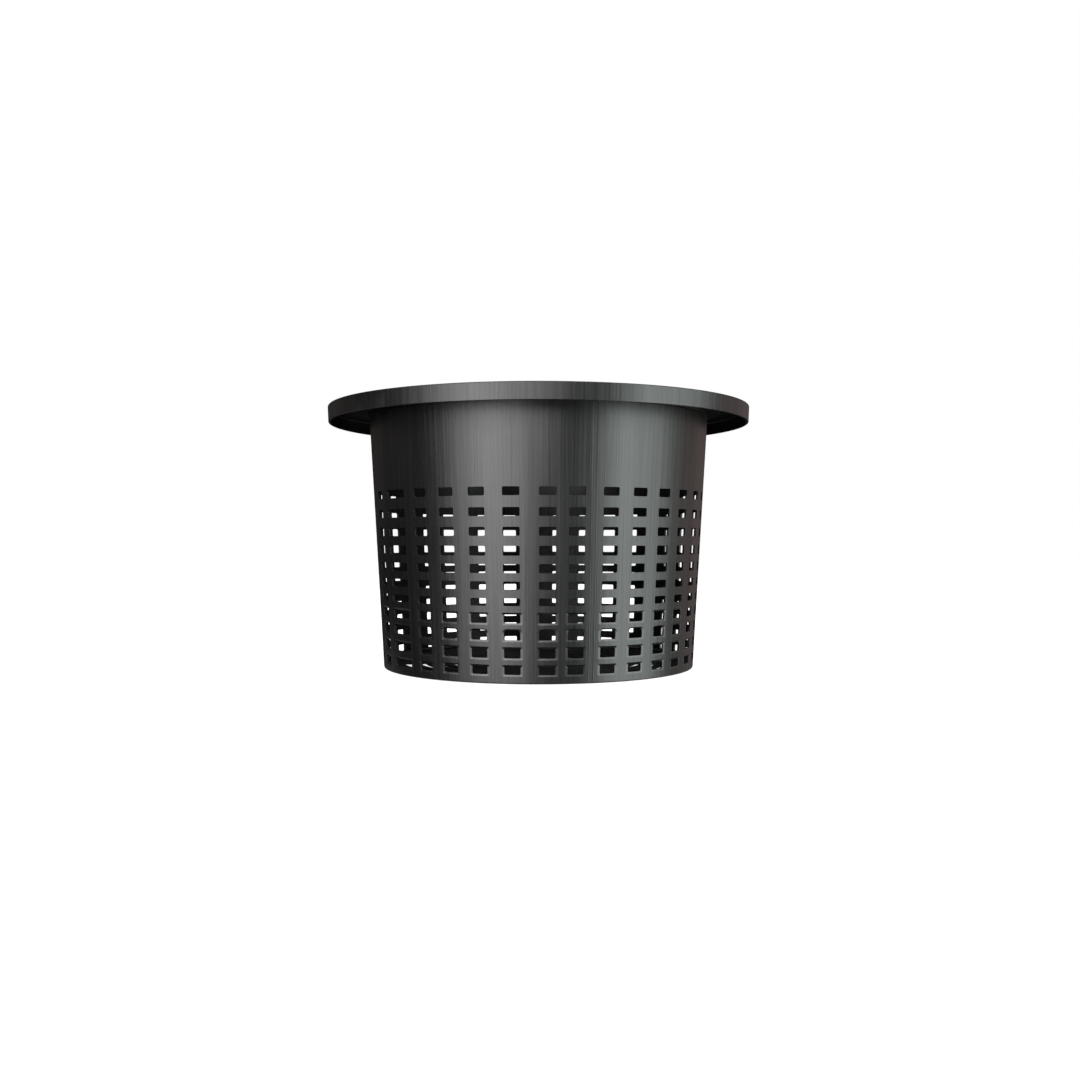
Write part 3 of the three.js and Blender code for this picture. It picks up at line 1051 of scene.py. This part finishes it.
def soft_panel(name, power, place, size, tint, aim):
    """A soft rectangular lamp at a bearing and elevation from the pot, which it faces."""
    bearing, elevation = (math.radians(value) for value in place)
    lamp = bpy.data.lights.new(name, "AREA")
    lamp.shape = "RECTANGLE"
    lamp.size, lamp.size_y = size
    lamp.energy = power
    lamp.color = tint
    made = bpy.data.objects.new(name, lamp)
    flat = math.cos(elevation)
    away = Vector((flat * math.sin(bearing), -flat * math.cos(bearing), math.sin(elevation)))
    made.location = aim + away * PANEL_DISTANCE
    made.rotation_euler = away.to_track_quat("Z", "Y").to_euler()
    made.visible_camera = False
    bpy.context.collection.objects.link(made)


LINING_RADIUS, LINING_SIDES = 3.0, 48
LINING_GLOW = {"Color": (0.012, 0.0115, 0.0112, 1.0), "Strength": 1.0}
GROUND_RADIUS, GROUND_SIDES = 2.6, 96
GROUND_DROP = 0.0003  # how far the studio's floor lies under the pot's foot
GROUND_COLOUR = (0.8, 0.8, 0.8, 1.0)
GROUND_GLOW = {"From Min": 0.05, "From Max": 0.3, "To Min": 0.8, "To Max": 1.0}  # by metres from the axis


def studio_object(name, shape):
    """An object made of a bmesh, with an empty material; returns it with the material's tree."""
    mesh = bpy.data.meshes.new(name)
    shape.to_mesh(mesh)
    shape.free()
    made = bpy.data.objects.new(name, mesh)
    bpy.context.collection.objects.link(made)
    material = bpy.data.materials.new(name)
    material.use_nodes = True
    material.node_tree.nodes.clear()
    mesh.materials.append(material)
    return made, material.node_tree


def dim_lining():
    """A dark lining round the studio, which keeps the white backdrop out of the black plastic."""
    dome = bmesh.new()
    bmesh.ops.create_uvsphere(
        dome, u_segments=LINING_SIDES, v_segments=LINING_SIDES // 2, radius=LINING_RADIUS
    )
    lining, tree = studio_object("studio_lining", dome)
    glow = add_node(tree, "ShaderNodeEmission", LINING_GLOW)
    add_node(tree, "ShaderNodeOutputMaterial", {"Surface": glow.outputs[0]})
    lining.visible_camera = False
    lining.visible_shadow = False


def pale_floor():
    """A wide white floor that shows only to the camera and keeps the pot's soft shadow."""
    plate = bmesh.new()
    bmesh.ops.create_circle(plate, cap_ends=True, segments=GROUND_SIDES, radius=GROUND_RADIUS)
    floor, tree = studio_object("studio_floor", plate)
    floor.location.z = -GROUND_DROP
    place = add_node(tree, "ShaderNodeNewGeometry").outputs["Position"]
    away = add_node(tree, "ShaderNodeVectorMath", {0: place}, operation="LENGTH").outputs["Value"]
    glow = add_node(tree, "ShaderNodeEmission", {"Strength": spread_over(tree, away, GROUND_GLOW)})
    matte = add_node(tree, "ShaderNodeBsdfDiffuse", {"Color": GROUND_COLOUR})
    both = add_node(tree, "ShaderNodeAddShader", {0: glow.outputs[0], 1: matte.outputs[0]})
    add_node(tree, "ShaderNodeOutputMaterial", {"Surface": both.outputs[0]})
    for ray in ("diffuse", "glossy", "transmission", "shadow"):
        setattr(floor, f"visible_{ray}", False)


def white_world(scene):
    """White wherever the camera, a glossy or a transmitted ray reaches past the studio."""
    world = bpy.data.worlds.new("studio_world")
    world.use_nodes = True
    tree = world.node_tree
    rays = add_node(tree, "ShaderNodeLightPath").outputs
    seen = combine(tree, "MAXIMUM", rays["Is Camera Ray"], rays["Is Glossy Ray"])
    seen = combine(tree, "MAXIMUM", seen, rays["Is Transmission Ray"])
    feed(tree, tree.nodes["Background"], {"Color": (*WHITE, 1.0), "Strength": seen})
    scene.world = world


class NETPOT_OT_studio(bpy.types.Operator):
    """Set up the floor, the soft lamps and the camera"""

    bl_idname = "net_pot.studio"
    bl_label = "Studio"

    def execute(self, context):
        scene = context.scene
        studio = scene.net_pot_studio
        aim = Vector((0.0, 0.0, scene.net_pot_wall.height / 2))
        for name, (bearing, elevation, width, height, tint) in SOFT_PANELS.items():
            soft_panel(name, getattr(studio, name), (bearing, elevation), (width, height), tint, aim)
        dim_lining()
        pale_floor()
        white_world(scene)
        camera = bpy.data.cameras.new("camera")
        camera.lens = studio.lens
        camera.sensor_width = SENSOR_WIDTH
        made = bpy.data.objects.new("camera", camera)
        made.location = (studio.eye_side, -studio.eye_distance, studio.eye_height)
        made.rotation_euler = (math.pi / 2, 0.0, 0.0)
        bpy.context.collection.objects.link(made)
        scene.camera = made
        scene.view_settings.view_transform = "Standard"
        return {"FINISHED"}


class NETPOT_PT_sidebar(bpy.types.Panel):
    """Lists the pot's pieces and the studio"""

    bl_label = "Net pot"
    bl_idname = "NETPOT_PT_sidebar"
    bl_space_type = "VIEW_3D"
    bl_region_type = "UI"
    bl_category = "Net pot"

    def draw(self, context):
        for name, (_, operator) in GROUPS.items():
            box = self.layout.box()
            box.operator(operator)
            settings = getattr(context.scene, name)
            for key in settings.bl_rna.properties.keys():
                if key not in {"rna_type", "name"}:
                    box.prop(settings, key)


GROUPS = {  # the scene's settings, and the operator that stands over each in the panel
    "net_pot_wall": (NETPOT_PG_wall, "net_pot.basket_wall"),
    "net_pot_windows": (NETPOT_PG_windows, "net_pot.basket_wall"),
    "net_pot_parting": (NETPOT_PG_parting, "net_pot.parting_lines"),
    "net_pot_flange": (NETPOT_PG_flange, "net_pot.rim_flange"),
    "net_pot_floor": (NETPOT_PG_floor, "net_pot.base_grid"),
    "net_pot_finish": (NETPOT_PG_finish, "net_pot.basket_wall"),
    "net_pot_studio": (NETPOT_PG_studio, "net_pot.studio"),
}
CLASSES = (
    *(group for group, _ in GROUPS.values()),
    NETPOT_OT_basket_wall,
    NETPOT_OT_parting_lines,
    NETPOT_OT_rim_flange,
    NETPOT_OT_base_grid,
    NETPOT_OT_studio,
    NETPOT_PT_sidebar,
)


def register():
    for cls in CLASSES:
        bpy.utils.register_class(cls)
    for name, (group, _) in GROUPS.items():
        setattr(bpy.types.Scene, name, PointerProperty(type=group))


def unregister():
    for name in GROUPS:
        delattr(bpy.types.Scene, name)
    for cls in reversed(CLASSES):
        bpy.utils.unregister_class(cls)


def main():
    register()
    bpy.ops.net_pot.basket_wall()
    bpy.ops.net_pot.parting_lines()
    bpy.ops.net_pot.rim_flange()
    bpy.ops.net_pot.base_grid()
    bpy.ops.net_pot.studio()


if __name__ == "__main__":
    main()
